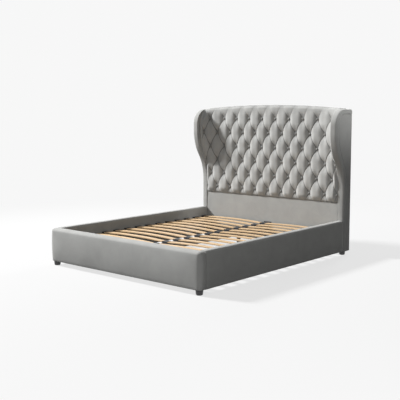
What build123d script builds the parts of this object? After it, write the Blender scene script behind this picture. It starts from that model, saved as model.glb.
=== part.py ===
from build123d import *
import math
import os

os.makedirs("parts", exist_ok=True)

# Upholstered bed frame with a tall winged headboard in deep-buttoned diamond tufting.
# Millimetres, +Z up, the head end at +Y. The origin lies on the floor under the middle of the bed.

# Sleeping surface, and the play between it and the well around it
sleeping_width = 1600.0
sleeping_length = 2000.0
side_clearance = 10.0
end_clearance = 3.0

# Air between neighbours, and the overrun of cuts
seat_gap = 0.3
screw_gap = 0.08
cut_overrun = 5.0

# Padded rails and footboard
foot_height = 35.0
rail_height = 299.0
rail_thickness = 70.0
footboard_thickness = 72.0
side_crown = 10.0
front_crown = 12.0
top_roll = 24.0
bottom_roll = 10.0
inner_roll = 14.0
board_thickness = 40.0
inner_padding = 12.0
top_padding = 16.0
end_padding = 22.0
end_roll = 36.0

# Headboard as a whole
headboard_depth = 125.0
headboard_height = 1428.0
arch_rise = 38.0
back_cover_thickness = 6.0
top_cover_thickness = 15.0
top_cover_roll = 10.0

# Tufted pad: lattice of the buttons, heights of the tufts, and the curve of the pad in plan
column_pitch = 164.0
row_pitch = 144.0
row_count = 6
first_row_drop = 136.0
pad_back_inset = 95.0
pit_thickness = 20.0
tuft_height = 30.0
tuft_side_share = 0.80
pleat_share = 0.50
hem_share = 0.30
top_shares = (0.65, 0.55, 0.10)
top_level_step = 8.0
corner_radius = 360.0
corner_turn = 27.0
wing_face_radius = 95.0
wing_face_turn = 55.0
wing_face_run = 16.0
stretch_lead = 23.0
corner_stretch = 14.0

# Covered buttons
button_radius = 9.5
button_skirt = 18.0
button_dome = 4.0
button_root_radius = 0.8
button_gap = 0.8
button_sides = 10
crown_radius_share = 0.50

# Wings: side profile, padded border, plywood side, bent liner and formers
wing_travel = 160.0
ogee_height = 532.0
ogee_drop = 262.0
wing_round = 155.0
seam_inset = 5.0
border_thickness = 44.0
border_low_thickness = 24.0
border_width = 66.4
border_wrap = 50.0
border_nose = 34.0
nose_depth_share = 0.72
outer_pad_thickness = 14.0
outer_pad_edge = 3.0
ply_thickness = 12.0
liner_thickness = 6.0
former_thickness = 18.0
former_drop = 98.0
former_span = 570.0
former_count = 4
ogee_steps = 6
round_steps = 5

# Headboard carcass
headboard_board_thickness = 18.0
lower_pad_recess = 2.0
lower_pad_crown = 6.0
post_width = 95.0
inner_post_width = 60.0
frame_rail_height = 90.0
carcass_floor_gap = 8.0

# Slatted base
slat_count = 14
slat_width = 53.0
slat_thickness = 8.0
slat_bow = 12.0
slat_end_margin = 70.0
ledger_top_z = 225.0
ledger_width = 30.0
ledger_height = 35.0
ledger_end_gap = 12.0
holder_depth = 30.0
holder_wall = 3.0
slat_mouth_rise = 1.5
beam_width = 40.0
beam_height = 60.0
beam_wall = 2.0
beam_end_gap = 4.0
hanger_plate_width = 90.0
hanger_plate_height = 100.0
hanger_thickness = 3.0
hanger_reach = 45.0
hanger_lip = 30.0

# Centre legs with screw glides
leg_spread = 1000.0
leg_radius = 19.0
leg_wall = 2.0
leg_plate = 70.0
leg_plate_thickness = 3.0
leg_plug = 20.0
leg_bottom_z = 26.0
stud_radius = 5.0
stud_top_z = 70.0
glide_radius = 22.0
glide_edge = 2.0
glide_thickness = 7.0
nut_radius = 9.8
nut_height = 8.0
nut_sides = 6

# Corner feet
foot_radius = 30.0
foot_taper = 3.0
foot_pad_thickness = 3.0
foot_pad_inset = 4.0
foot_inset = 40.0
rear_foot_inset = 71.0
foot_edge = 2.0

# Corner brackets and their bolts
bracket_leg = 60.0
bracket_height = 110.0
bracket_thickness = 3.0
bracket_low_z = 75.0
bolt_radius = 4.0
bolt_head_radius = 7.5
bolt_head_height = 5.0
bolt_length = 50.0
bolt_inset = 40.0

# Places worked out from the sizes above
well_half_width = sleeping_width / 2 + side_clearance
edge_x = well_half_width + rail_thickness
length = front_crown + footboard_thickness + sleeping_length + end_clearance + headboard_depth
front_y = -length / 2
foot_edge_y = front_y + front_crown
well_foot_y = foot_edge_y + footboard_thickness
well_head_y = well_foot_y + sleeping_length + end_clearance
back_y = length / 2
rail_top_z = foot_height + rail_height
shoulder_z = headboard_height - arch_rise
round_z = shoulder_z - wing_round
pad_back_y = back_y - pad_back_inset
pit_y = pad_back_y - pit_thickness
half_step = column_pitch / 4
first_row_z = headboard_height - first_row_drop
board_front_y = pad_back_y + seat_gap
frame_front_y = board_front_y + headboard_board_thickness + seat_gap
frame_back_y = back_y - back_cover_thickness - seat_gap
ply_outer_x = edge_x - outer_pad_thickness - seat_gap
ply_inner_x = ply_outer_x - ply_thickness
pad_bottom_z = first_row_z - (row_count - 0.5) * row_pitch
arch_radius = (edge_x**2 + arch_rise**2) / (2 * arch_rise)
ogee_high_z = headboard_height - ogee_drop
ogee_low_z = ogee_high_z - ogee_height
ogee_radius = (ogee_height**2 + wing_travel**2) / (4 * wing_travel)


def arch_z(x):
    """Height of the headboard's arched top line."""
    return headboard_height - arch_radius + math.sqrt(arch_radius**2 - x**2)


def ogee_lean(z):
    """Angle from upright, in radians, of the wing's front line."""
    rise = min(z - ogee_low_z, ogee_high_z - z)
    return math.asin(max(rise, 0) / ogee_radius)


def outline_y(z):
    """Place of the wing's front line at a height."""
    wing_y = well_head_y - wing_travel
    if z > round_z:
        rise = min(z - round_z, wing_round)
        return wing_y + wing_round - math.sqrt(wing_round**2 - rise**2)
    bow = ogee_radius * (1 - math.cos(ogee_lean(z)))
    if z < (ogee_low_z + ogee_high_z) / 2:
        return well_head_y - bow
    return wing_y + bow


# The pad's corner in plan: a slow turn, then a quicker one on to the wing's face, ends at the border
slow_turn = math.radians(corner_turn)
last_turn = slow_turn + math.radians(wing_face_turn)
corner_width = corner_radius * math.sin(slow_turn) + wing_face_run * math.cos(last_turn)
corner_width += wing_face_radius * (math.sin(last_turn) - math.sin(slow_turn))
corner_start = edge_x - border_width - corner_width
flat_steps = 4 * int(corner_start // column_pitch)
liner_last_step = int((corner_start + corner_radius * slow_turn - corner_stretch) // half_step)


def plan_point(run):
    """Across, forward depth and turn of the pad's pit line in plan, a run from the middle."""
    slow = min(max(run - corner_start, 0) / corner_radius, slow_turn)
    rest = max(run - corner_start - corner_radius * slow_turn, 0)
    turn = slow + min(rest / wing_face_radius, last_turn - slow_turn)
    straight = max(rest - wing_face_radius * (last_turn - slow_turn), 0)
    x = min(run, corner_start) + corner_radius * math.sin(slow)
    x += wing_face_radius * (math.sin(turn) - math.sin(slow)) + straight * math.cos(turn)
    depth = corner_radius * (1 - math.cos(slow))
    depth += wing_face_radius * (math.cos(slow) - math.cos(turn)) + straight * math.sin(turn)
    return x, depth, turn


pad_run = corner_start + corner_radius * slow_turn
pad_run += wing_face_radius * (last_turn - slow_turn) + wing_face_run
pad_edge_x = plan_point(pad_run)[0]
step_count = int(pad_run // half_step) + 1


def column_run(step):
    """Run from the middle to a half-step of the lattice, which is wider round the corner."""
    run = abs(step) * half_step
    start = corner_start - stretch_lead
    share = (run - start) / (pad_run - start)
    if 0 < share < 1:
        run += corner_stretch * math.sin(math.pi * share)
    return min(run, pad_run)


def wing_share(z):
    """Share of the wing's full travel at a height."""
    return (pit_y - outline_y(z) - seam_inset) / (pit_y - well_head_y + wing_travel - seam_inset)


def pad_frame(step, z):
    """Pit point of the pad in plan at a half-step and a height, and the way out of its face."""
    x, depth, turn = plan_point(column_run(step))
    slope = math.tan(turn) * wing_share(z)
    slant = math.hypot(1, slope)
    side = math.copysign(1, step)
    return (side * x, pit_y - depth * wing_share(z)), (-side * slope / slant, -1 / slant)


def pad_point(step, z, height):
    """Point in plan at a height over the pits, or behind them, held clear of the wing's border."""
    place, out = pad_frame(step, z)
    x = place[0] + out[0] * height
    return math.copysign(min(abs(x), pad_edge_x), x), place[1] + out[1] * height


def tuft_share(step, half_row):
    """Height of the tufts as a share: nothing at a button, one at a crown."""
    if abs(step) >= step_count - 1:
        return hem_share
    if step % 2 and half_row % 2:
        return pleat_share
    if step % 2 or half_row % 2:
        return tuft_side_share
    return 0.0 if (step // 2 + half_row // 2) % 2 == 0 else 1.0


def row_z(half_row):
    """Height of a half row, counted down from a row above the first."""
    return first_row_z + row_pitch - half_row * row_pitch / 2


half_rows = range(2 * row_count + 1, 0, -1)


def level_face(front, back, z):
    """Level section between a front and a back line of points in plan."""
    corners = front + back[::-1]
    outline = [Line(start, end) for start, end in zip(corners, corners[1:] + corners[:1])]
    return Plane.XY.offset(z) * Face(Wire(outline))


def pad_level(steps, z, shares):
    """Level section of the tufted pad, with its pits, crowns and pleats."""
    front = [pad_point(step, z, tuft_height * share) for step, share in zip(steps, shares)]
    back = [pad_point(step, z, -pit_thickness) for step in steps]
    return level_face(front, back, z)


def pad_levels(steps):
    """Level sections of the tufted pad between two half-steps, from its hem to above the top."""
    levels = [pad_level(steps, pad_bottom_z, [hem_share for step in steps])]
    for half_row in half_rows[1:]:
        shares = [tuft_share(step, half_row) for step in steps]
        levels.append(pad_level(steps, row_z(half_row), shares))
    top_zs = (shoulder_z - top_level_step, shoulder_z, headboard_height + cut_overrun)
    for z, share in zip(top_zs, top_shares):
        levels.append(pad_level(steps, z, [share for step in steps]))
    return levels


def under_arch(inset, half_width):
    """Face in X and Z below the arch, drawn in from it by an inset, down to the floor gap."""
    low_z = foot_height + carcass_floor_gap
    side_z = arch_z(half_width) - inset
    with BuildSketch(Plane.XZ) as face:
        with BuildLine():
            ThreePointArc((-half_width, side_z), (0, headboard_height - inset), (half_width, side_z))
            Polyline((half_width, side_z), (half_width, low_z), (-half_width, low_z), (-half_width, side_z))
        make_face()
    return face.sketch


def write_pair(piece, name):
    """Write the right piece and its mirror image on the left."""
    piece.part.label = name + "_right"
    export_step(piece.part, "parts/" + name + "_right.step")
    with BuildPart() as twin:
        mirror(piece.part, about=Plane.YZ)
    twin.part.label = name + "_left"
    export_step(twin.part, "parts/" + name + "_left.step")


# Tufted pad: one flat middle and two corners that run forward on to the wings
arch_face = under_arch(0, edge_x)
middle_levels = pad_levels(range(-flat_steps, flat_steps + 1))
with BuildPart() as tufted_middle:
    loft(middle_levels, ruled=True)
    with BuildSketch(Plane.XZ.offset(-back_y)):
        add(arch_face)
    extrude(amount=back_y, mode=Mode.INTERSECT)
tufted_middle.part.label = "tufted_pad_middle"
export_step(tufted_middle.part, "parts/tufted_pad_middle.step")

corner_levels = pad_levels(range(flat_steps, step_count + 1))
with BuildPart() as tufted_corner:
    loft(corner_levels, ruled=True)
    with BuildSketch(Plane.XZ.offset(-back_y)):
        add(arch_face)
    extrude(amount=back_y, mode=Mode.INTERSECT)
write_pair(tufted_corner, "tufted_pad_corner")


# Covered buttons, each drawn down into its pit
def button_planes():
    """Planes square to the pad at its buttons, on the bottoms of the pits."""
    planes = []
    for row in range(1, row_count + 1):
        columns = range(row % 2, (step_count + 1) // 2, 2)
        for column in [-c for c in columns if c] + list(columns):
            z = row_z(2 * row)
            place, out = pad_frame(2 * column, z)
            high_y = pad_frame(2 * column, z + row_pitch / 2)[0][1]
            low_y = pad_frame(2 * column, z - row_pitch / 2)[0][1]
            normal = Vector(out[0], out[1], -out[1] * (high_y - low_y) / row_pitch).normalized()
            planes.append(Plane(Vector(place[0], place[1], z) + normal * button_gap, z_dir=normal))
    return planes


button_levels = ((0.0, button_root_radius), (button_skirt, button_radius),
                 (button_skirt + button_dome, button_radius * crown_radius_share))
with BuildPart() as button:
    for level, radius in button_levels:
        with BuildSketch(Plane.XY.offset(level)):
            RegularPolygon(radius, button_sides)
    loft(ruled=True)

with BuildPart() as pad_buttons:
    with Locations(*button_planes()):
        add(button.part)
pad_buttons.part.label = "pad_buttons"
export_step(pad_buttons.part, "parts/pad_buttons.step")


# Wing outline: places along the front line, round the top corner and back along the top
def outline_stations():
    """Place, outward way and border thickness, along the bed's length and up, on the wing's edge."""
    heights = [foot_height, ogee_low_z]
    heights += [ogee_low_z + ogee_height * step / ogee_steps for step in range(1, ogee_steps + 1)]
    stations = []
    for z in heights:
        lean = ogee_lean(z)
        thickness = border_low_thickness + (border_thickness - border_low_thickness) * wing_share(z)
        stations.append(((outline_y(z), z), (-math.cos(lean), -math.sin(lean)), thickness))
    centre_y = well_head_y - wing_travel + wing_round
    for step in range(round_steps + 1):
        angle = math.radians(90 * step / round_steps)
        out = (-math.cos(angle), math.sin(angle))
        place = (centre_y + wing_round * out[0], round_z + wing_round * out[1])
        stations.append((place, out, border_thickness))
    stations.append(((back_y, shoulder_z), (0.0, 1.0), border_thickness))
    return stations


def inset_outline(inset):
    """The wing's outline drawn in by an inset, from the floor end to the back."""
    return [(place[0] - out[0] * inset, place[1] - out[1] * inset) for place, out, _ in outline_stations()]


def board_outline(gap):
    """The wing's outline drawn in by the border's thickness and a gap."""
    points = []
    for place, out, thickness in outline_stations():
        inset = thickness + gap
        points.append((place[0] - out[0] * inset, place[1] - out[1] * inset))
    return points


def border_section(place, out, thickness):
    """Section of the padded border, square to the wing's edge: a nose with a flap back to the seam."""
    square = Plane(origin=(0, place[0], place[1]), x_dir=(1, 0, 0), z_dir=(0, out[1], -out[0]))
    inner_x = pad_edge_x + seat_gap
    crown_x = edge_x - border_nose
    seam_x = edge_x - outer_pad_thickness
    nose_depth = thickness * nose_depth_share
    inner_radius = ((crown_x - inner_x)**2 + nose_depth**2) / (2 * nose_depth)
    half_angle = math.asin(min((crown_x - inner_x) / inner_radius, 1)) / 2
    inner_mid = (crown_x - inner_radius * math.sin(half_angle), inner_radius * (1 - math.cos(half_angle)))
    nose_mid = (crown_x + border_nose * math.sin(math.pi / 4), border_nose * (1 - math.cos(math.pi / 4)))
    with BuildLine(square) as outline:
        ThreePointArc((inner_x, nose_depth), inner_mid, (crown_x, 0))
        ThreePointArc((crown_x, 0), nose_mid, (edge_x, border_nose))
        Polyline((edge_x, border_nose), (edge_x, border_wrap), (seam_x, border_wrap),
                 (seam_x, thickness), (inner_x, thickness), (inner_x, nose_depth))
    return Face(Wire(outline.edges()))


# Padded border that runs up the wing's front, round its top corner and back along the top
border_sections = [border_section(*station) for station in outline_stations()]
with BuildPart() as wing_border:
    loft(border_sections, ruled=True)
write_pair(wing_border, "wing_border")

# Outer padding of the wing and of the headboard's side
with BuildPart() as wing_outer_pad:
    with BuildSketch(Plane.YZ.offset(edge_x - outer_pad_thickness)):
        with BuildLine():
            edge = inset_outline(border_wrap + seat_gap)
            Polyline(*edge, (back_y, foot_height), close=True)
        make_face()
    extrude(amount=outer_pad_thickness)
    fillet(wing_outer_pad.faces().sort_by(Axis.X)[-1].edges(), outer_pad_edge)
write_pair(wing_outer_pad, "wing_outer_pad")

# Plywood side that the border and the outer padding are drawn over
with BuildPart() as wing_side_board:
    with BuildSketch(Plane.YZ.offset(ply_inner_x)):
        with BuildLine():
            edge = board_outline(seat_gap)
            edge[0] = (edge[0][0], foot_height + carcass_floor_gap)
            edge[-1] = (frame_back_y, edge[-1][1])
            Polyline(*edge, (frame_back_y, foot_height + carcass_floor_gap), close=True)
        make_face()
    extrude(amount=ply_thickness)
write_pair(wing_side_board, "wing_side_board")


def liner_level(half_row):
    """Level section of the bent plywood behind the pad's corner."""
    steps = range(flat_steps, liner_last_step + 1)
    z = row_z(half_row)
    front = [pad_point(step, z, -pit_thickness - seat_gap) for step in steps]
    back = [pad_point(step, z, -pit_thickness - seat_gap - liner_thickness) for step in steps]
    return level_face(front, back, z)


# Bent plywood liner that carries the tufting round the corner
liner_levels = [liner_level(half_row) for half_row in half_rows]
with BuildPart() as corner_liner:
    loft(liner_levels, ruled=True)
write_pair(corner_liner, "corner_liner")


def height_on(points, z):
    """Place of an upright line of points at a height between its ends."""
    for (low_y, low_z), (high_y, high_z) in zip(points, points[1:]):
        if low_z <= z <= high_z:
            return low_y + (high_y - low_y) * (z - low_z) / (high_z - low_z)
    return points[-1][0]


def former_point(step, z):
    """Point in plan on a former's front edge, behind the liner or, past its end, behind the pad."""
    depth = pit_thickness + 2 * seat_gap
    if step <= liner_last_step:
        depth += liner_thickness
    points = []
    for height in (z, z + former_thickness):
        line = [(pad_point(step, row_z(half_row), -depth)[1], row_z(half_row)) for half_row in half_rows]
        points.append(height_on(line, height))
    return pad_point(step, z, -depth)[0], max(points)


# Flat plywood formers between the liner, the side board and the back frame
former_rise = former_span / (former_count - 1)
former_heights = [headboard_height - former_drop - former_rise * step for step in range(former_count)]
with BuildPart() as wing_formers:
    for height in former_heights:
        with BuildSketch(Plane.XY.offset(height)):
            with BuildLine():
                front = [former_point(step, height) for step in range(flat_steps, step_count)]
                front = [point for point in front if point[0] < pad_edge_x]
                border = board_outline(2 * seat_gap)
                tip_y = max(height_on(border, height), height_on(border, height + former_thickness))
                last_y = frame_front_y - seat_gap
                tip_x = pad_edge_x + seat_gap
                side_x = ply_inner_x - seat_gap
                Polyline(*front, (tip_x, front[-1][1]), (tip_x, tip_y), (side_x, tip_y), (side_x, last_y),
                         (front[0][0], last_y), close=True)
            make_face()
        extrude(amount=former_thickness)
write_pair(wing_formers, "wing_formers")


hole_radius = bolt_radius + screw_gap
bolt_zs = (bracket_low_z + bracket_height / 4, bracket_low_z + bracket_height * 3 / 4)
bolt_side_x = well_half_width - bolt_inset
bolt_foot_y = well_foot_y + bolt_inset
bolt_head_y = well_head_y - bolt_inset


def side_bolt_holes():
    """Bolt holes through a rail, across the bed, as cylinders."""
    with BuildPart() as holes:
        for y in (bolt_foot_y, bolt_head_y):
            for z in bolt_zs:
                with BuildSketch(Plane.YZ.offset(well_half_width - cut_overrun)):
                    with Locations((y, z)):
                        Circle(hole_radius)
                extrude(amount=bolt_length + cut_overrun)
    return holes.part


def end_bolt_holes(start_y, reach):
    """Bolt holes along the bed's length through a footboard or the headboard's foot, as cylinders."""
    with BuildPart() as holes:
        for side in (-1, 1):
            for z in bolt_zs:
                with BuildSketch(Plane.XZ.offset(-start_y)):
                    with Locations((side * bolt_side_x, z)):
                        Circle(hole_radius)
                extrude(amount=-reach)
    return holes.part


# Carcass of the headboard
carcass_low_z = foot_height + carcass_floor_gap
carcass_inset = top_cover_thickness + seat_gap
panel_half_width = plan_point(flat_steps * half_step)[0] - seat_gap
lower_top_z = pad_bottom_z - seat_gap
panel_face = under_arch(carcass_inset, panel_half_width)

# Plywood board behind the tufting, wider below the wings
with BuildPart() as headboard_board:
    with BuildSketch(Plane.XZ.offset(-board_front_y)):
        add(panel_face)
        with Locations((0, (carcass_low_z + lower_top_z) / 2)):
            Rectangle(2 * (ply_inner_x - seat_gap), lower_top_z - carcass_low_z)
    extrude(amount=-headboard_board_thickness)
    add(end_bolt_holes(well_head_y, bolt_length), mode=Mode.SUBTRACT)
headboard_board.part.label = "headboard_board"
export_step(headboard_board.part, "parts/headboard_board.step")

# Arched top rail of the timber back frame
frame_depth = frame_back_y - frame_front_y
post_inner_x = ply_inner_x - seat_gap - post_width
with BuildPart() as headboard_top_rail:
    with BuildSketch(Plane.XZ.offset(-frame_front_y)):
        add(under_arch(carcass_inset, post_inner_x - seat_gap))
        add(under_arch(carcass_inset + frame_rail_height, post_inner_x), mode=Mode.SUBTRACT)
    extrude(amount=-frame_depth)
headboard_top_rail.part.label = "headboard_top_rail"
export_step(headboard_top_rail.part, "parts/headboard_top_rail.step")

# Straight cross rails behind the lower edge of the tufting and at the foot of the headboard
cross_rail_z = lower_top_z - frame_rail_height / 2
for name, low_z in (("headboard_cross_rail", cross_rail_z), ("headboard_bottom_rail", carcass_low_z)):
    with BuildPart() as cross_rail:
        with BuildSketch(Plane.XY.offset(low_z)):
            with Locations((0, (frame_front_y + frame_back_y) / 2)):
                Rectangle(2 * (post_inner_x - seat_gap), frame_depth)
        extrude(amount=frame_rail_height)
    cross_rail.part.label = name
    export_step(cross_rail.part, "parts/" + name + ".step")

# Outer posts, cut to the slope of the arch
with BuildPart() as headboard_post:
    with BuildSketch(Plane.XY.offset(carcass_low_z)):
        with Locations((post_inner_x + post_width / 2, (frame_front_y + frame_back_y) / 2)):
            Rectangle(post_width, frame_depth)
    extrude(amount=shoulder_z - border_thickness - seat_gap - carcass_low_z)
write_pair(headboard_post, "headboard_post")

# Inner posts between the rails, where the board meets the liners
top_rail_low_z = arch_z(panel_half_width + inner_post_width) - carcass_inset - frame_rail_height
low_span = (carcass_low_z + frame_rail_height + seat_gap, cross_rail_z - seat_gap)
high_span = (cross_rail_z + frame_rail_height + seat_gap, top_rail_low_z - 2 * seat_gap)
post_y = (frame_front_y + frame_back_y) / 2
with BuildPart() as inner_posts:
    for low_z, high_z in (low_span, high_span):
        with BuildSketch(Plane.XY.offset(low_z)):
            with Locations((-panel_half_width, post_y), (panel_half_width, post_y)):
                Rectangle(inner_post_width, frame_depth)
        extrude(amount=high_z - low_z)
inner_posts.part.label = "headboard_inner_posts"
export_step(inner_posts.part, "parts/headboard_inner_posts.step")

# Padded strip over the arched top
with BuildPart() as top_cover:
    with BuildSketch(Plane.XZ.offset(-pad_back_y - seat_gap)):
        add(under_arch(0, pad_edge_x))
        add(under_arch(top_cover_thickness, pad_edge_x + cut_overrun), mode=Mode.SUBTRACT)
    extrude(amount=pad_back_y + seat_gap - back_y)
    arched_edges = top_cover.faces().sort_by(Axis.Z)[-1].edges().filter_by(GeomType.CIRCLE)
    fillet(arched_edges.sort_by(Axis.Y)[-1], top_cover_roll)
top_cover.part.label = "headboard_top_cover"
export_step(top_cover.part, "parts/headboard_top_cover.step")

# Thin covered panel that closes the back
with BuildPart() as back_cover:
    with BuildSketch(Plane.XZ.offset(-back_y + back_cover_thickness)):
        add(under_arch(carcass_inset, pad_edge_x))
        side_z = shoulder_z - border_thickness - seat_gap
        with Locations((0, (foot_height + side_z) / 2)):
            Rectangle(2 * ply_outer_x, side_z - foot_height)
    extrude(amount=-back_cover_thickness)
back_cover.part.label = "headboard_back_cover"
export_step(back_cover.part, "parts/headboard_back_cover.step")

# Plain padding below the tufting, at the head end of the well
with BuildPart() as lower_pad:
    with BuildSketch(Plane.YZ.offset(-pad_edge_x)):
        with BuildLine():
            low = (well_head_y + lower_pad_recess + lower_pad_crown, foot_height)
            high = (well_head_y + lower_pad_recess + lower_pad_crown, lower_top_z)
            ThreePointArc(low, (well_head_y + lower_pad_recess, (foot_height + lower_top_z) / 2), high)
            Polyline(high, (pad_back_y, lower_top_z), (pad_back_y, foot_height), low)
        make_face()
    extrude(amount=2 * pad_edge_x)
    add(end_bolt_holes(well_head_y, bolt_length), mode=Mode.SUBTRACT)
lower_pad.part.label = "headboard_lower_pad"
export_step(lower_pad.part, "parts/headboard_lower_pad.step")


# Padded covers and timber boards of the side rails and the footboard
def cover_section(thickness, crown, back_roll):
    """Section of a padded rail: crowned outside, rolled top, flat inside."""
    with BuildSketch() as section:
        with BuildLine():
            low = (thickness - bottom_roll, foot_height)
            face_low = (thickness, foot_height + bottom_roll)
            face_mid = (thickness + crown, foot_height + rail_height / 2)
            face_high = (thickness, rail_top_z - top_roll)
            top_out = (thickness - top_roll, rail_top_z)
            top_in = (back_roll, rail_top_z)
            RadiusArc(low, face_low, -bottom_roll)
            ThreePointArc(face_low, face_mid, face_high)
            RadiusArc(face_high, top_out, -top_roll)
            Line(top_out, top_in)
            RadiusArc(top_in, (0, rail_top_z - back_roll), -back_roll)
            Polyline((0, rail_top_z - back_roll), (0, foot_height), low)
        make_face()
    return section.sketch


board_low_z = foot_height + bottom_roll
board_height = rail_top_z - top_padding - board_low_z
board_middle_z = board_low_z + board_height / 2
rail_low_y = well_foot_y + seat_gap
rail_high_y = well_head_y - seat_gap
rail_section = cover_section(rail_thickness, side_crown, inner_roll)
with BuildPart() as rail_cover:
    with BuildSketch(Plane(origin=(well_half_width, rail_high_y, 0), x_dir=(1, 0, 0), z_dir=(0, -1, 0))):
        add(rail_section)
        with Locations((inner_padding + board_thickness / 2, board_middle_z)):
            Rectangle(board_thickness + 2 * seat_gap, board_height + 2 * seat_gap, mode=Mode.SUBTRACT)
    extrude(amount=rail_high_y - rail_low_y)
    add(side_bolt_holes(), mode=Mode.SUBTRACT)
write_pair(rail_cover, "side_rail_cover")

with BuildPart() as rail_board:
    with BuildSketch(Plane.XZ.offset(-rail_low_y - seat_gap)):
        with Locations((well_half_width + inner_padding + board_thickness / 2, board_middle_z)):
            Rectangle(board_thickness, board_height)
    extrude(amount=-(rail_high_y - rail_low_y - 2 * seat_gap))
    add(side_bolt_holes(), mode=Mode.SUBTRACT)
write_pair(rail_board, "side_rail_board")

footboard_section = cover_section(footboard_thickness, front_crown, inner_roll)
with BuildPart() as footboard_cover:
    start = (edge_x + side_crown + cut_overrun, well_foot_y, 0)
    with BuildSketch(Plane(origin=start, x_dir=(0, -1, 0), z_dir=(-1, 0, 0))):
        add(footboard_section)
    extrude(amount=2 * (edge_x + side_crown + cut_overrun))
    with BuildSketch(Plane.XZ.offset(-well_foot_y - cut_overrun)):
        with BuildLine():
            low_z = foot_height - cut_overrun
            high_z = rail_top_z + cut_overrun
            for side in (-1, 1):
                side_mid = (side * (edge_x + side_crown), foot_height + rail_height / 2)
                ThreePointArc((side * edge_x, low_z), side_mid, (side * edge_x, high_z))
            Line((-edge_x, high_z), (edge_x, high_z))
            Line((-edge_x, low_z), (edge_x, low_z))
        make_face()
    extrude(amount=footboard_thickness + front_crown + 2 * cut_overrun, mode=Mode.INTERSECT)
    with BuildSketch(Plane.XY) as plan:
        with Locations((0, (front_y + well_foot_y) / 2)):
            Rectangle(2 * (edge_x + side_crown + cut_overrun), well_foot_y - front_y + 2 * cut_overrun)
        fillet(plan.vertices().group_by(Axis.Y)[0], end_roll)
    extrude(amount=rail_top_z + cut_overrun, mode=Mode.INTERSECT)
    with BuildSketch(Plane.XZ.offset(-well_foot_y + inner_padding - seat_gap)):
        with Locations((0, board_middle_z)):
            Rectangle(2 * (edge_x - end_padding + seat_gap), board_height + 2 * seat_gap)
    extrude(amount=board_thickness + 2 * seat_gap, mode=Mode.SUBTRACT)
    add(end_bolt_holes(well_foot_y + cut_overrun, -bolt_length - cut_overrun), mode=Mode.SUBTRACT)
footboard_cover.part.label = "footboard_cover"
export_step(footboard_cover.part, "parts/footboard_cover.step")

with BuildPart() as footboard_board:
    with BuildSketch(Plane.XZ.offset(-well_foot_y + inner_padding)):
        with Locations((0, board_middle_z)):
            Rectangle(2 * (edge_x - end_padding), board_height)
    extrude(amount=board_thickness)
    add(end_bolt_holes(well_foot_y + cut_overrun, -bolt_length - cut_overrun), mode=Mode.SUBTRACT)
footboard_board.part.label = "footboard_board"
export_step(footboard_board.part, "parts/footboard_board.step")


# Slatted base: ledgers, centre beam on its hangers, sprung slats and their holders
slat_pitch = (well_head_y - well_foot_y - 2 * slat_end_margin) / (slat_count - 1)
slat_ys = [well_foot_y + slat_end_margin + slat_pitch * slat for slat in range(slat_count)]
holder_height = slat_thickness + 2 * holder_wall
ledger_inner_x = well_half_width - seat_gap - ledger_width
slat_outer_x = well_half_width - seat_gap - holder_wall - seat_gap
slat_inner_x = holder_wall / 2 + seat_gap
slat_low_z = ledger_top_z + seat_gap + holder_wall + seat_gap

with BuildPart() as slat_ledger:
    with BuildSketch(Plane.XZ.offset(-rail_low_y - ledger_end_gap - bracket_thickness)):
        with Locations((ledger_inner_x + ledger_width / 2, ledger_top_z - ledger_height / 2)):
            Rectangle(ledger_width, ledger_height)
    extrude(amount=-(rail_high_y - rail_low_y - 2 * (ledger_end_gap + bracket_thickness)))
write_pair(slat_ledger, "slat_ledger")

with BuildPart() as sprung_slats:
    with BuildSketch(Plane.XZ.offset(slat_width / 2)):
        with BuildLine():
            low_in = (slat_inner_x, slat_low_z)
            low_out = (slat_outer_x, slat_low_z)
            middle_x = (slat_inner_x + slat_outer_x) / 2
            ThreePointArc(low_in, (middle_x, slat_low_z + slat_bow), low_out)
            high_in = (slat_inner_x, slat_low_z + slat_thickness)
            high_out = (slat_outer_x, slat_low_z + slat_thickness)
            ThreePointArc(high_in, (middle_x, slat_low_z + slat_bow + slat_thickness), high_out)
            Line(low_in, high_in)
            Line(low_out, high_out)
        make_face()
    extrude(amount=-slat_width)

with BuildPart() as slat_row:
    with Locations(*[(0, y, 0) for y in slat_ys]):
        add(sprung_slats.part)
write_pair(slat_row, "sprung_slats")


def holder(low_x, high_x, mouths):
    """Holder for slat ends between two places across the bed, open at its mouths."""
    with BuildPart() as shell:
        with BuildSketch(Plane.XY.offset(ledger_top_z + seat_gap)):
            with Locations(((low_x + high_x) / 2, 0)):
                Rectangle(high_x - low_x, slat_width + 2 * (holder_wall + seat_gap))
        extrude(amount=holder_height + slat_mouth_rise)
        for mouth_low, mouth_high in mouths:
            with BuildSketch(Plane.XY.offset(ledger_top_z + seat_gap + holder_wall)):
                with Locations(((mouth_low + mouth_high) / 2, 0)):
                    Rectangle(mouth_high - mouth_low, slat_width + 2 * seat_gap)
            extrude(amount=slat_thickness + slat_mouth_rise + 2 * seat_gap, mode=Mode.SUBTRACT)
    return shell.part


outer_mouth = (ledger_inner_x - cut_overrun, well_half_width - seat_gap - holder_wall)
outer_holder = holder(ledger_inner_x, well_half_width - seat_gap, [outer_mouth])
with BuildPart() as outer_holders:
    with Locations(*[(0, y, 0) for y in slat_ys]):
        add(outer_holder)
write_pair(outer_holders, "slat_holders")

right_mouth = (holder_wall / 2, holder_depth + cut_overrun)
left_mouth = (-holder_depth - cut_overrun, -holder_wall / 2)
centre_holder = holder(-holder_depth, holder_depth, [right_mouth, left_mouth])
with BuildPart() as centre_holders:
    with Locations(*[(0, y, 0) for y in slat_ys]):
        add(centre_holder)
centre_holders.part.label = "centre_slat_holders"
export_step(centre_holders.part, "parts/centre_slat_holders.step")

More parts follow.
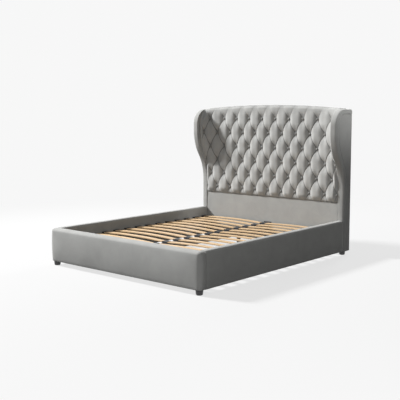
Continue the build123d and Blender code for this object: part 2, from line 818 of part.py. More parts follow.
with BuildPart() as centre_beam:
    with BuildSketch(Plane.XZ.offset(-well_foot_y - beam_end_gap)):
        with Locations((0, ledger_top_z - beam_height / 2)):
            Rectangle(beam_width, beam_height)
            Rectangle(beam_width - 2 * beam_wall, beam_height - 2 * beam_wall, mode=Mode.SUBTRACT)
    extrude(amount=-(well_head_y - well_foot_y - 2 * beam_end_gap))
centre_beam.part.label = "centre_beam"
export_step(centre_beam.part, "parts/centre_beam.step")


def beam_hanger(wall_y, inward):
    """Steel hanger on a wall of the well, with a seat and two cheeks for the beam's end."""
    with BuildPart() as hanger:
        middle_z = ledger_top_z - beam_height / 2
        with BuildSketch(Plane.XZ.offset(-wall_y)):
            with Locations((0, middle_z)):
                Rectangle(hanger_plate_width, hanger_plate_height)
        extrude(amount=-inward * hanger_thickness)
        with BuildSketch(Plane.XZ.offset(-wall_y)):
            cheek_height = hanger_lip + hanger_thickness + seat_gap
            seat_z = ledger_top_z - beam_height - seat_gap - hanger_thickness
            with Locations((0, seat_z + cheek_height / 2)):
                Rectangle(beam_width + 2 * (hanger_thickness + seat_gap), cheek_height)
            with Locations((0, seat_z + cheek_height / 2 + hanger_thickness)):
                Rectangle(beam_width + 2 * seat_gap, cheek_height, mode=Mode.SUBTRACT)
        extrude(amount=-inward * hanger_reach)
    return hanger.part


for end, wall_y, inward in (("foot", well_foot_y + seat_gap, 1),
                            ("head", well_head_y + lower_pad_recess - seat_gap, -1)):
    with BuildPart() as hanger:
        add(beam_hanger(wall_y, inward))
    hanger.part.label = "beam_hanger_" + end
    export_step(hanger.part, "parts/beam_hanger_" + end + ".step")

# Centre legs below the beam, each with a lock nut and a screw glide
leg_top_z = ledger_top_z - beam_height - seat_gap
bore_radius = stud_radius + screw_gap
for end, leg_y in (("foot", -leg_spread / 2), ("head", leg_spread / 2)):
    with BuildPart() as centre_leg:
        with BuildSketch(Plane.XY.offset(leg_bottom_z)):
            with Locations((0, leg_y)):
                Circle(leg_radius)
                Circle(leg_radius - leg_wall, mode=Mode.SUBTRACT)
        extrude(amount=leg_top_z - leg_plate_thickness - leg_bottom_z)
        with BuildSketch(Plane.XY.offset(leg_bottom_z)):
            with Locations((0, leg_y)):
                Circle(leg_radius - leg_wall)
                Circle(bore_radius, mode=Mode.SUBTRACT)
        extrude(amount=leg_plug)
        with BuildSketch(Plane.XY.offset(leg_top_z - leg_plate_thickness)):
            with Locations((0, leg_y)):
                Rectangle(leg_plate, leg_plate)
        extrude(amount=leg_plate_thickness)
    centre_leg.part.label = "centre_leg_" + end
    export_step(centre_leg.part, "parts/centre_leg_" + end + ".step")

    with BuildPart() as lock_nut:
        with BuildSketch(Plane.XY.offset(leg_bottom_z - seat_gap - nut_height)):
            with Locations((0, leg_y)):
                RegularPolygon(nut_radius, nut_sides)
                Circle(bore_radius, mode=Mode.SUBTRACT)
        extrude(amount=nut_height)
    lock_nut.part.label = "lock_nut_" + end
    export_step(lock_nut.part, "parts/lock_nut_" + end + ".step")

    with BuildPart() as glide:
        with BuildSketch(Plane.XY):
            with Locations((0, leg_y)):
                Circle(glide_radius)
        extrude(amount=glide_thickness)
        chamfer(glide.edges().filter_by(GeomType.CIRCLE), glide_edge)
        with BuildSketch(Plane.XY.offset(glide_thickness)):
            with Locations((0, leg_y)):
                Circle(stud_radius)
        extrude(amount=stud_top_z - glide_thickness)
    glide.part.label = "screw_glide_" + end
    export_step(glide.part, "parts/screw_glide_" + end + ".step")

# Turned feet at the corners and the pads below them
foot_ys = {"front": foot_edge_y + foot_inset, "rear": back_y - rear_foot_inset}
foot_x = edge_x - foot_inset
for end, foot_y in foot_ys.items():
    with BuildPart() as foot:
        with BuildSketch(Plane.XY.offset(foot_pad_thickness)):
            with Locations((foot_x, foot_y)):
                Circle(foot_radius - foot_taper)
        with BuildSketch(Plane.XY.offset(foot_height)):
            with Locations((foot_x, foot_y)):
                Circle(foot_radius)
        loft(ruled=True)
        chamfer(foot.edges().filter_by(GeomType.CIRCLE).sort_by(Axis.Z)[0], foot_edge)
    write_pair(foot, end + "_foot")

with BuildPart() as foot_pads:
    with BuildSketch(Plane.XY):
        with Locations(*[(side * foot_x, foot_y) for side in (-1, 1) for foot_y in foot_ys.values()]):
            Circle(foot_radius - foot_taper - foot_pad_inset)
    extrude(amount=foot_pad_thickness)
foot_pads.part.label = "foot_pads"
export_step(foot_pads.part, "parts/foot_pads.step")

# Steel angle in each lower corner of the well, and the bolts through it
with BuildPart() as corner_angle:
    with BuildSketch(Plane.XY.offset(bracket_low_z)):
        with BuildLine():
            outer = (well_half_width - seat_gap, well_foot_y + seat_gap)
            inner = (outer[0] - bracket_thickness, outer[1] + bracket_thickness)
            Polyline(outer, (outer[0] - bracket_leg, outer[1]), (outer[0] - bracket_leg, inner[1]), inner,
                     (inner[0], outer[1] + bracket_leg), (outer[0], outer[1] + bracket_leg), close=True)
        make_face()
    extrude(amount=bracket_height)
    add(side_bolt_holes(), mode=Mode.SUBTRACT)
    add(end_bolt_holes(well_foot_y + cut_overrun, -bolt_length), mode=Mode.SUBTRACT)

well_middle_y = (well_foot_y + well_head_y) / 2
with BuildPart() as corner_brackets:
    add(corner_angle.part)
    mirror(corner_angle.part, about=Plane.XZ.offset(-well_middle_y))
    mirror(corner_brackets.part, about=Plane.YZ)
corner_brackets.part.label = "corner_brackets"
export_step(corner_brackets.part, "parts/corner_brackets.step")

with BuildPart() as bolt:
    with BuildSketch(Plane.XY.offset(-bolt_head_height)):
        Circle(bolt_head_radius)
    extrude(amount=bolt_head_height)
    with BuildSketch(Plane.XY):
        Circle(bolt_radius)
    extrude(amount=bolt_length)

bracket_face = seat_gap + bracket_thickness
bolt_planes = []
for side in (-1, 1):
    for z in bolt_zs:
        for y in (bolt_foot_y, bolt_head_y):
            origin = (side * (well_half_width - bracket_face), y, z)
            bolt_planes.append(Plane(origin=origin, z_dir=(side, 0, 0)))
        for wall_y, outward in ((well_foot_y, -1), (well_head_y, 1)):
            origin = (side * bolt_side_x, wall_y - outward * bracket_face, z)
            bolt_planes.append(Plane(origin=origin, z_dir=(0, outward, 0)))
with BuildPart() as corner_bolts:
    with Locations(*bolt_planes):
        add(bolt.part)
corner_bolts.part.label = "corner_bolts"
export_step(corner_bolts.part, "parts/corner_bolts.step")
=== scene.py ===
import math

import bmesh
import bpy
import numpy as np
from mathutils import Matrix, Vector


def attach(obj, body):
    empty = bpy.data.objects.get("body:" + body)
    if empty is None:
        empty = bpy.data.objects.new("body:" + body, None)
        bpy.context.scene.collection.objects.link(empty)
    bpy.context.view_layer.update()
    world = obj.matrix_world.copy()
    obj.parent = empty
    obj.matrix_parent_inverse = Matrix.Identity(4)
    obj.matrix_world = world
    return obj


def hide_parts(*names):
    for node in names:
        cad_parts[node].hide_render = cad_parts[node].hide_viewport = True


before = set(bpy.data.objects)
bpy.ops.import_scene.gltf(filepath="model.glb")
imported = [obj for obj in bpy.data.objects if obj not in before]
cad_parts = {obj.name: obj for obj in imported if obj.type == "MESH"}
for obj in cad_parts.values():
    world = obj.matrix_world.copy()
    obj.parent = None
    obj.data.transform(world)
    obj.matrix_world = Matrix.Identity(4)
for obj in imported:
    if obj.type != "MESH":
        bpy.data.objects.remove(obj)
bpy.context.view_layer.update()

# Sizes of the bed in metres. The origin lies on the floor under its middle, with the head end at +Y.
well_half = 0.810
edge_x = 0.880
foot_face_y = -1.094
well_foot_y = -1.022
well_head_y = 0.981
back_y = 1.106
foot_height = 0.035
rail_top = 0.334
headboard_height = 1.428
arch_rise = 0.038
shoulder_z = 1.390
air = 0.0003

# Tufted panel: places of the buttons and the panel's curve in plan
column_half = 0.082
row_pitch = 0.144
row_count = 6
outer_column = 10
first_row_z = 1.292
pit_y = 0.991
pad_depth = 0.020
panel_back_y = 1.011
panel_low_z = 0.500
corner_start = 0.597
corner_radius = 0.360
corner_turn = math.radians(27)
face_radius = 0.095
face_turn = math.radians(55)
face_run = 0.016
stretch_start = 0.574
corner_stretch = 0.014
panel_run = corner_start + corner_radius * corner_turn + face_radius * face_turn + face_run

# Tufts: rise of the cover between the buttons, in metres or as a share, at places counted in rows
tuft_height = 0.030
ridge_share = 0.66
ridge_power = 0.70
crown_power = 0.20
crown_sag = 0.035
tuft_variation = 0.03
pit_share = 0.22
# Width of the band of painted shade along each crease, in columns
crease_shade_width = 0.065
edge_lift = 0.003
plain_rows = (0.75, 0.30)
plain_share = 0.45
top_share = 0.62
lowest_row = 6.45
highest_row = 1.40
top_roll = 0.030

# Mesh of the tufted panel: its steps a column, its levels, and the stride of its coarse back
column_steps = 20
hem_levels = 5
top_levels = 34
roll_levels = 10
back_stride = 6

# Covered buttons
button_radius = 0.0115
button_flatness = 0.52
button_cut = 0.0035
button_rim = 0.0008
button_rise = 0.0105
button_rise_spread = 0.0012
button_tilt = 0.06

# Wing: its front line seen from the side, and its padded border
wing_y = 0.821
wing_round = 0.155
round_z = 1.235
ogee_low_z = 0.634
ogee_high_z = 1.166
ogee_radius = (0.532**2 + 0.160**2) / (4 * 0.160)
border_low = 0.024
border_high = 0.044
border_wrap = 0.050
border_nose = 0.034
border_crown = 0.006
border_fullness = 0.50
nose_share = 0.30
top_nose = 0.020
flap_edge = 0.0045
side_pad = 0.014
side_crown = 0.0015
seam_edge = 0.005
top_seam_share = 0.3
arch_radius = (edge_x**2 + arch_rise**2) / (2 * arch_rise)

# Rails and footboard: crowns of the padding, boards inside, the sewn seam of a rail, and the mesh's pitch
rail_crown = 0.010
front_crown = 0.012
board_low_z = 0.0447
board_high_z = 0.3183
rail_board_x = (0.8217, 0.8623)
rail_board_end = 0.0005
foot_board_depth = (0.0523, 0.0117)
foot_board_end = 0.0217
rail_seam_y = 0.745
rail_seam_width = 0.0045
rail_seam_depth = 0.0024
mesh_pitch = 0.022


def arch_z(x):
    """Height of the headboard's arched top line."""
    return headboard_height - arch_radius + np.sqrt(arch_radius**2 - np.asarray(x, float)**2)


def wing_lean(z):
    """Angle from upright of the wing's front line."""
    return np.arcsin(np.clip(np.minimum(z - ogee_low_z, ogee_high_z - z), 0, None) / ogee_radius)


def wing_front_y(z):
    """Place of the wing's front line at a height."""
    z = np.asarray(z, float)
    bow = ogee_radius * (1 - np.cos(wing_lean(z)))
    y = np.where(z < (ogee_low_z + ogee_high_z) / 2, well_head_y - bow, wing_y + bow)
    rise = np.clip(z - round_z, 0, wing_round)
    return np.where(z > round_z, wing_y + wing_round - np.sqrt(wing_round**2 - rise**2), y)


def forward_share(z):
    """How far the panel runs forward at a height, as a share of its run at the wing's front."""
    return (pit_y - wing_front_y(z) - seam_edge) / (pit_y - wing_y - seam_edge)


def panel_plan(run):
    """Across, depth and turn of the panel's buttoning line, a run from the middle."""
    run = np.asarray(run, float)
    slow = np.clip((run - corner_start) / corner_radius, 0, corner_turn)
    rest = np.clip(run - corner_start - corner_radius * corner_turn, 0, None)
    turn = slow + np.minimum(rest / face_radius, face_turn)
    straight = np.clip(rest - face_radius * face_turn, 0, None)
    x = np.minimum(run, corner_start) + corner_radius * np.sin(slow)
    x = x + face_radius * (np.sin(turn) - np.sin(slow)) + straight * np.cos(turn)
    depth = corner_radius * (1 - np.cos(slow))
    depth = depth + face_radius * (np.cos(slow) - np.cos(turn)) + straight * np.sin(turn)
    return x, depth, turn


panel_edge_x = float(panel_plan(panel_run)[0])


def panel_columns(u):
    """Across, depth and turn at places counted in columns; they stand wider apart round the corner."""
    run = np.abs(u) * column_half
    share = np.clip((run - stretch_start) / (panel_run - stretch_start), 0, 1)
    run = np.minimum(run + corner_stretch * np.sin(np.pi * share), panel_run)
    return panel_plan(run)


# Meshes

def mesh_piece(name, points, faces, smooth=True):
    """A new object at the origin from its points and faces."""
    mesh = bpy.data.meshes.new(name)
    mesh.from_pydata([tuple(point) for point in points], [], [tuple(int(i) for i in face) for face in faces])
    mesh.validate()
    mesh.polygons.foreach_set("use_smooth", [smooth] * len(mesh.polygons))
    piece = bpy.data.objects.new(name, mesh)
    bpy.context.scene.collection.objects.link(piece)
    return piece


def finish_piece(piece, material, slot, body, *nodes):
    """Material, body and the nodes that a piece stands for; the finish slot is not used."""
    piece.data.materials.clear()
    piece.data.materials.append(material)
    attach(piece, body)
    if nodes:
        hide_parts(*nodes)


def ripple(points, seed, size, amount):
    """Soft, seeded unevenness of padded cloth at each point."""
    random = np.random.default_rng(seed)
    total = np.zeros(len(points))
    waves = 6
    for _ in range(waves):
        way = random.normal(size=3)
        way /= np.linalg.norm(way)
        length = size * random.uniform(0.6, 1.6)
        total += np.sin(points @ way * 2 * math.pi / length + random.uniform(0, 2 * math.pi))
    return total * amount / waves


def graded(low, high, low_radius, high_radius, pitch):
    """Places along one side of a padded block, close together in its rolled edges."""
    turns = np.tan(np.linspace(0, math.pi / 4, 6))
    start = low + low_radius * (1 - turns[::-1])
    end = high - high_radius * (1 - turns)
    count = max(int(round((high - high_radius - low - low_radius) / pitch)), 2)
    middle = np.linspace(low + low_radius, high - high_radius, count + 1)[1:-1]
    return np.concatenate([start, middle, end])


def padded_block(low, high, rolls, pitch):
    """Points, faces and outward ways of a block with rolled edges; rolls are (low, high) a side."""
    low = np.array(low, float)
    high = np.array(high, float)
    rolls = np.array(rolls, float)
    places = [graded(low[k], high[k], rolls[k][0], rolls[k][1], pitch) for k in range(3)]
    inner_low = low + rolls[:, 0]
    inner_high = high - rolls[:, 1]
    index = {}
    points, faces, ways = [], [], []

    def corner(i, j, k):
        key = (i, j, k)
        if key not in index:
            spot = np.array([places[0][i], places[1][j], places[2][k]])
            core = np.clip(spot, inner_low, inner_high)
            radius = np.where(spot < core, rolls[:, 0], rolls[:, 1])
            way = (spot - core) / radius
            way = way / np.linalg.norm(way)
            index[key] = len(points)
            points.append(core + way * radius)
            ways.append(way)
        return index[key]

    def wall(*keys):
        faces.append(tuple(corner(*key) for key in keys))

    nx, ny, nz = (len(place) - 1 for place in places)
    for i in range(nx):
        for j in range(ny):
            wall((i, j, 0), (i, j + 1, 0), (i + 1, j + 1, 0), (i + 1, j, 0))
            wall((i, j, nz), (i + 1, j, nz), (i + 1, j + 1, nz), (i, j + 1, nz))
    for i in range(nx):
        for k in range(nz):
            wall((i, 0, k), (i + 1, 0, k), (i + 1, 0, k + 1), (i, 0, k + 1))
            wall((i, ny, k), (i, ny, k + 1), (i + 1, ny, k + 1), (i + 1, ny, k))
    for j in range(ny):
        for k in range(nz):
            wall((0, j, k), (0, j, k + 1), (0, j + 1, k + 1), (0, j + 1, k))
            wall((nx, j, k), (nx, j + 1, k), (nx, j + 1, k + 1), (nx, j, k + 1))
    return np.array(points), faces, np.array(ways)


def add_hollow(points, faces, low, high):
    """A closed hollow inside a padded cover, where its timber board lies."""
    base = len(points)
    corners = [(x, y, z) for x in (low[0], high[0]) for y in (low[1], high[1]) for z in (low[2], high[2])]
    walls = ((0, 2, 3, 1), (4, 5, 7, 6), (0, 1, 5, 4), (2, 6, 7, 3), (0, 4, 6, 2), (1, 3, 7, 5))
    hollow = [tuple(base + i for i in wall) for wall in walls]
    return np.vstack([points, corners]), faces + hollow


def swept(rings):
    """Points and faces of a closed sweep through rings of equally many points, with flat ends."""
    rings = np.array(rings)
    count, size = rings.shape[:2]
    faces = []
    for step in range(count - 1):
        for i in range(size):
            j = (i + 1) % size
            faces.append((step * size + i, step * size + j, (step + 1) * size + j, (step + 1) * size + i))
    faces.append(tuple(range(size - 1, -1, -1)))
    faces.append(tuple((count - 1) * size + i for i in range(size)))
    return rings.reshape(-1, 3), faces


def outward(piece):
    """Turn all faces of a closed piece outwards."""
    shell = bmesh.new()
    shell.from_mesh(piece.data)
    bmesh.ops.recalc_face_normals(shell, faces=shell.faces)
    shell.to_mesh(piece.data)
    shell.free()
    return piece


# Tufted panel

def smooth_step(value, start, end):
    """Smooth rise from nothing at the start to one at the end."""
    share = np.clip((value - start) / (end - start), 0, 1)
    return share * share * (3 - 2 * share)


def tuft_heights(u, v):
    """Height of the buttoned tufts as a share, by column and row: creases run between the buttons."""
    rising = np.sin(np.pi * (u + v) / 2)**2
    falling = np.sin(np.pi * (u - v) / 2)**2
    both = rising * falling
    ridges = (rising + falling - both)**ridge_power
    return ridge_share * ridges + (1 - ridge_share) * both**crown_power


def crease_distances(u, v):
    """Distances to the nearest rising and the nearest falling crease, in columns."""
    return np.abs((u + v + 1) % 2 - 1), np.abs((u - v + 1) % 2 - 1)


def panel_sheets():
    """Front sheet before it is tufted, back sheet, columns across, and fade of the tufts up the panel."""
    last = int(panel_run / column_half * column_steps)
    u = np.arange(-last, last + 1) / column_steps
    u[0], u[-1] = -panel_run / column_half, panel_run / column_half
    x, depth, turn = panel_columns(u)
    side = np.sign(u)
    reach = depth / depth[-1]
    front_v = np.arange(lowest_row, highest_row - 0.01, -1 / column_steps)
    front_z = first_row_z - (front_v - 1) * row_pitch
    top_z = arch_z(x)
    share = np.arange(1, top_levels + 1) / top_levels
    upright = front_z[-1] + share[None, :] * (top_z - top_roll - front_z[-1])[:, None]
    rounded = front_z[-1] + (shoulder_z - front_z[-1]) * np.sin(share * math.pi / 2)[None, :]
    over_z = upright * (1 - reach[:, None]) + rounded * reach[:, None]
    z = np.concatenate([np.repeat(front_z[None, :], len(u), 0), over_z], axis=1)
    forward = forward_share(z)
    slope = np.tan(turn)[:, None] * forward
    slant = np.hypot(1, slope)
    face_x = np.repeat((side * x)[:, None], z.shape[1], 1)
    face_y = pit_y - depth[:, None] * forward
    behind_x = face_x + side[:, None] * pad_depth * slope / slant
    behind_x = np.clip(behind_x, -panel_edge_x, panel_edge_x)
    behind_y = face_y + pad_depth / slant

    # Hem below and roll over the top close the front on to the back
    hem = np.linspace(0, 1, hem_levels + 1)[None, :-1] * math.pi / 2
    hem_x = behind_x[:, :1] + (face_x[:, :1] - behind_x[:, :1]) * np.sin(hem)
    hem_y = behind_y[:, :1] + (face_y[:, :1] - behind_y[:, :1]) * np.sin(hem)
    hem_z = np.repeat(front_z[0] - (front_z[0] - panel_low_z) * np.cos(hem), len(u), 0)
    over = np.arange(1, roll_levels + 1)[None, :] / roll_levels
    end_y, end_z = face_y[:, -1:], z[:, -1:]
    bent_y = panel_back_y - (panel_back_y - end_y) * np.cos(over * math.pi / 2)
    bent_z = end_z + (top_z[:, None] - end_z) * np.sin(over * math.pi / 2)
    flat_y = end_y + (panel_back_y - end_y) * over
    flat_z = end_z + (top_z[:, None] - end_z) * over
    weight = reach[:, None]**0.5
    roll_x = np.repeat(face_x[:, -1:], roll_levels, 1)
    roll_y = bent_y * (1 - weight) + flat_y * weight
    roll_z = bent_z * (1 - weight) + flat_z * weight
    sheet = np.stack([np.concatenate([hem_x, face_x, roll_x], 1),
                      np.concatenate([hem_y, face_y, roll_y], 1),
                      np.concatenate([hem_z, z, roll_z], 1)], axis=2)

    def carried_on(values):
        """The panel's values, with the lowest carried on down the hem and the highest over the roll."""
        low = np.repeat(values[:, :1], hem_levels, 1)
        high = np.repeat(values[:, -1:], roll_levels, 1)
        return np.concatenate([low, values, high], 1)

    first_top = hem_levels + len(front_z)
    last_top = first_top + top_levels
    closing = np.concatenate([np.zeros(first_top), share, np.ones(roll_levels)])[None, :]**4
    back_y_line = carried_on(behind_y) * (1 - closing) + panel_back_y * closing
    back = np.stack([carried_on(behind_x), np.minimum(back_y_line, panel_back_y), sheet[:, :, 2]], axis=2)
    level = np.arange(sheet.shape[1])
    fade = np.interp(level, [0, first_top, last_top, last_top + roll_levels], [1, 1, top_share, 0])
    return sheet, back, u, fade * smooth_step(level, 0, hem_levels + 7)


def tufted_front(sheet, u, fade):
    """Front sheet lifted square to itself into tufts, shares of fold and crease that mark where shade is
    painted, and where creases rise.
    """
    normal = np.cross(np.gradient(sheet, axis=0), np.gradient(sheet, axis=1))
    normal /= np.maximum(np.linalg.norm(normal, axis=2, keepdims=True), 1e-9)
    rows = 1 + (first_row_z - sheet[:, :, 2]) / row_pitch
    columns = np.repeat(u[:, None], sheet.shape[1], 1)
    crown = np.sin(np.pi * (columns + rows) / 2)**2 * np.sin(np.pi * (columns - rows) / 2)**2
    height = tuft_heights(columns, rows - crown_sag * crown)
    above = smooth_step(rows, *plain_rows)
    height = height * (1 - above) + (plain_share + (1 - plain_share) * height) * above
    height = np.maximum(height, pit_share)
    height += tuft_variation * np.sin(columns * 2.3 + 0.7) * np.sin(rows * 1.9 + 0.4) * height

    # The tufts die away towards the wing's border, further from it at the top and below the curve
    hem_width = 0.42 + 1.2 * smooth_step(rows, 1.15, 0.60) + 0.9 * smooth_step(rows, 3.2, 4.6)
    wing_side = smooth_step(np.abs(columns), u[-1], u[-1] - hem_width)
    hem_lift = edge_lift * fade
    lift = hem_lift + (tuft_height * height * fade - hem_lift) * wing_side
    lift[:, 0] = 0
    lift[:, -1] = 0
    flat_points = sheet.reshape(-1, 3)
    folds = ripple(flat_points, 5, 0.030, 0.0007) + ripple(flat_points, 6, 0.11, 0.0012)
    lift += folds.reshape(height.shape) * smooth_step(height, 0.2, 0.6) * fade * wing_side
    front = sheet + normal * lift[:, :, None]
    front[:, :, 0] = np.clip(front[:, :, 0], -panel_edge_x, panel_edge_x)

    # Share of painted shade along the creases, strongest on each crease line
    crease = np.exp(-(np.minimum(*crease_distances(columns, rows)) / crease_shade_width)**2)
    middle_rows = (rows[:-1, :-1] + rows[:-1, 1:]) / 2
    rising, falling = crease_distances((u[:-1] + u[1:])[:, None] / 2, middle_rows)
    return front, height * fade, crease * (1 - above) * fade * wing_side, rising < falling


def tufted_panel():
    """The buttoned panel as one closed pad that runs forward on to both wings: fine front, coarse back."""
    sheet, back, u, fade = panel_sheets()
    front, folds, creases, rising = tufted_front(sheet, u, fade)
    n, m = front.shape[0] - 1, front.shape[1] - 1
    vertices = list(front.reshape(-1, 3))
    folds, creases = list(folds.reshape(-1)), list(creases.reshape(-1))
    spots = {}

    def front_spot(i, j):
        return i * (m + 1) + j

    def back_spot(i, j):
        if j in (0, m):
            return front_spot(i, j)
        if (i, j) not in spots:
            spots[(i, j)] = len(vertices)
            vertices.append(back[i, j])
            folds.append(0.5)
            creases.append(0.0)
        return spots[(i, j)]

    faces = []
    for i in range(n):
        for j in range(m):
            a, b = front_spot(i, j), front_spot(i + 1, j)
            c, d = front_spot(i + 1, j + 1), front_spot(i, j + 1)
            faces += [(a, b, c), (a, c, d)] if rising[i, j] else [(a, b, d), (b, c, d)]
    for j in range(m):
        for i, order in ((0, 1), (n, -1)):
            loop = [front_spot(i, j), front_spot(i, j + 1), back_spot(i, j + 1), back_spot(i, j)]
            loop = [spot for k, spot in enumerate(loop) if spot not in loop[:k]]
            faces.append(tuple(loop[::order]))
    for i in range(0, n, back_stride):
        for j in range(0, m, back_stride):
            i_end, j_end = min(i + back_stride, n), min(j + back_stride, m)
            low = range(i, i_end) if j == 0 else [i]
            right = range(j, j_end) if i_end == n else [j]
            high = range(i_end, i, -1) if j_end == m else [i_end]
            left = range(j_end, j, -1) if i == 0 else [j_end]
            loop = [back_spot(k, j) for k in low] + [back_spot(i_end, k) for k in right]
            loop += [back_spot(k, j_end) for k in high] + [back_spot(i, k) for k in left]
            faces.append(tuple(loop[::-1]))
    piece = outward(mesh_piece("tufted_pad", vertices, faces))
    # Attributes that the velvet reads to paint shade in the low folds and along the creases
    for word, values in (("fold_shade", folds), ("crease", creases)):
        attribute = piece.data.attributes.new(word, "FLOAT", "POINT")
        attribute.data.foreach_set("value", np.array(values, dtype=np.float32))
    return piece


def button_places():
    """Buttoning points with the way out of the panel there."""
    places = []
    for row in range(1, row_count + 1):
        z = first_row_z - (row - 1) * row_pitch
        share = float(forward_share(z))
        bend = float(forward_share(z - row_pitch / 2) - forward_share(z + row_pitch / 2))
        for column in range(-outer_column, outer_column + 1):
            if (column + row) % 2:
                continue
            x, depth, turn = (float(value) for value in panel_columns(float(column)))
            side = math.copysign(1, column)
            way = Vector((-side * math.tan(turn) * share, -1, depth * bend / row_pitch)).normalized()
            places.append((Vector((side * x, pit_y - depth * share, z)), way))
    return places


def in_fixed_order(mesh):
    """Corners and faces of a mesh, in an order that depends on their places alone."""
    order = sorted(range(len(mesh.vertices)), key=lambda i: [round(v, 6) for v in mesh.vertices[i].co])
    rank = {old: new for new, old in enumerate(order)}
    faces = []
    for face in mesh.polygons:
        ring = [rank[i] for i in face.vertices]
        first = ring.index(min(ring))
        faces.append(ring[first:] + ring[:first])
    return [mesh.vertices[i].co.copy() for i in order], sorted(faces)


def covered_buttons():
    """Cloth-covered buttons: one is shaped, and its copies are sunk into the pits."""
    bpy.ops.mesh.primitive_uv_sphere_add(segments=20, ring_count=10, radius=button_radius)
    button = bpy.context.object
    button.name = "button"
    bpy.ops.object.mode_set(mode="EDIT")
    bpy.ops.mesh.select_all(action="SELECT")
    bpy.ops.transform.resize(value=(1, 1, button_flatness))
    bpy.ops.mesh.bisect(plane_co=(0, 0, -button_cut), plane_no=(0, 0, -1), use_fill=True, clear_outer=True)
    bpy.ops.object.mode_set(mode="OBJECT")
    bevel = button.modifiers.new("rim", "BEVEL")
    bevel.width = button_rim
    bevel.segments = 1
    bevel.limit_method = "ANGLE"
    bpy.ops.object.modifier_apply(modifier=bevel.name)
    corners, walls = in_fixed_order(button.data)
    bpy.data.objects.remove(button, do_unlink=True)
    points, faces = [], []
    random = np.random.default_rng(3)
    for place, way in button_places():
        tilt = Vector(random.normal(size=3)) * button_tilt
        turn = (way + tilt).to_track_quat("Z", "Y").to_matrix()
        spot = place + way * (button_rise + button_rise_spread * random.uniform(-1, 1))
        faces += [[len(points) + i for i in wall] for wall in walls]
        points += [turn @ corner + spot for corner in corners]
    return mesh_piece("covered_buttons", points, faces)


# Wings

def border_line():
    """Places, outward ways and thickness of the border, up the wing's front and back along its top."""
    heights = np.concatenate([np.linspace(foot_height + 0.003, ogee_low_z, 22)[:-1],
                              np.linspace(ogee_low_z, ogee_high_z, 44)[:-1],
                              np.linspace(ogee_high_z, round_z, 7)])
    line = []
    for z in heights:
        lean = float(wing_lean(z))
        thickness = border_low + (border_high - border_low) * float(forward_share(z))
        line.append(((float(wing_front_y(z)), z), (-math.cos(lean), -math.sin(lean)), thickness))
    for angle in np.linspace(0, math.pi / 2, 25)[1:]:
        way = (-math.cos(angle), math.sin(angle))
        place = (wing_y + wing_round + wing_round * way[0], round_z + wing_round * way[1])
        line.append((place, way, border_high))
    for y in np.linspace(wing_y + wing_round, back_y - 0.003, 10)[1:]:
        line.append(((y, shoulder_z), (0.0, 1.0), border_high))
    return line


def border_profile(thickness, shrink=0.0, nose=None):
    """Across and depth of the border's section: a soft nose with a flap back to the side seam."""
    inner_x = panel_edge_x + air + shrink
    outer_x = edge_x - shrink
    crown_x = inner_x + border_crown
    seam_x = edge_x - side_pad + shrink
    nose_depth = (nose or thickness) * nose_share
    radius = ((crown_x - inner_x)**2 + nose_depth**2) / (2 * nose_depth)
    sweep = math.asin(min((crown_x - inner_x) / radius, 1))
    points = [(inner_x, thickness - 0.002 - shrink), (inner_x, (thickness + nose_depth) / 2)]
    for share in np.linspace(1, 0, 12):
        angle = sweep * share
        points.append((crown_x - radius * math.sin(angle), radius * (1 - math.cos(angle)) + shrink))
    for share in np.linspace(0, 1, 17)[1:]:
        angle = share * math.pi / 2
        across = (outer_x - crown_x) * math.sin(angle)**border_fullness
        points.append((crown_x + across, border_nose * (1 - math.cos(angle)**border_fullness) + shrink))
    bend_start = border_wrap - flap_edge - shrink
    points.append((outer_x, bend_start))
    for share in (0.35, 0.7, 1.0):
        angle = share * math.pi / 2
        across = flap_edge * (1 - math.cos(angle))
        points.append((outer_x - across, bend_start + flap_edge * math.sin(angle)))
    points += [(seam_x, border_wrap - shrink), (seam_x, thickness - shrink)]
    points.append((inner_x + 0.003, thickness - shrink))
    return points


def wing_border(side, name):
    """Padded border swept up the wing's edge and over its round top."""
    line = border_line()
    first, last = line[0], line[-1]
    ends = [(0.003, 0.003), (0.0012, 0.0018)]

    def ring(stop, section, up=0.0, back=0.0):
        (y, z), way, _ = stop
        return [(side * x, y - way[0] * d + back, z - way[1] * d + up) for x, d in section]

    rings = [ring(first, border_profile(first[2], shrink), up=-out) for shrink, out in ends]
    for stop in line:
        nose = stop[2] - (border_high - top_nose) * float(smooth_step(stop[1][1], 0.0, 0.8))
        rings.append(ring(stop, border_profile(stop[2], nose=nose)))
    rings += [ring(last, border_profile(last[2], shrink, top_nose), back=out) for shrink, out in ends[::-1]]
    points, faces = swept(rings)
    middle = np.repeat(np.mean(np.array(rings), axis=1), len(rings[0]), axis=0)
    away = points - middle
    away /= np.maximum(np.linalg.norm(away, axis=1, keepdims=True), 1e-9)
    slack = 0.0010
    uneven = ripple(points, 11 + side, 0.20, slack) - slack
    outer = np.abs(points[:, 0]) > panel_edge_x + 0.004
    points = points + away * (uneven * outer)[:, None]
    points[:, 0] = np.clip(points[:, 0], -edge_x, edge_x)
    return outward(mesh_piece(name, points, faces))


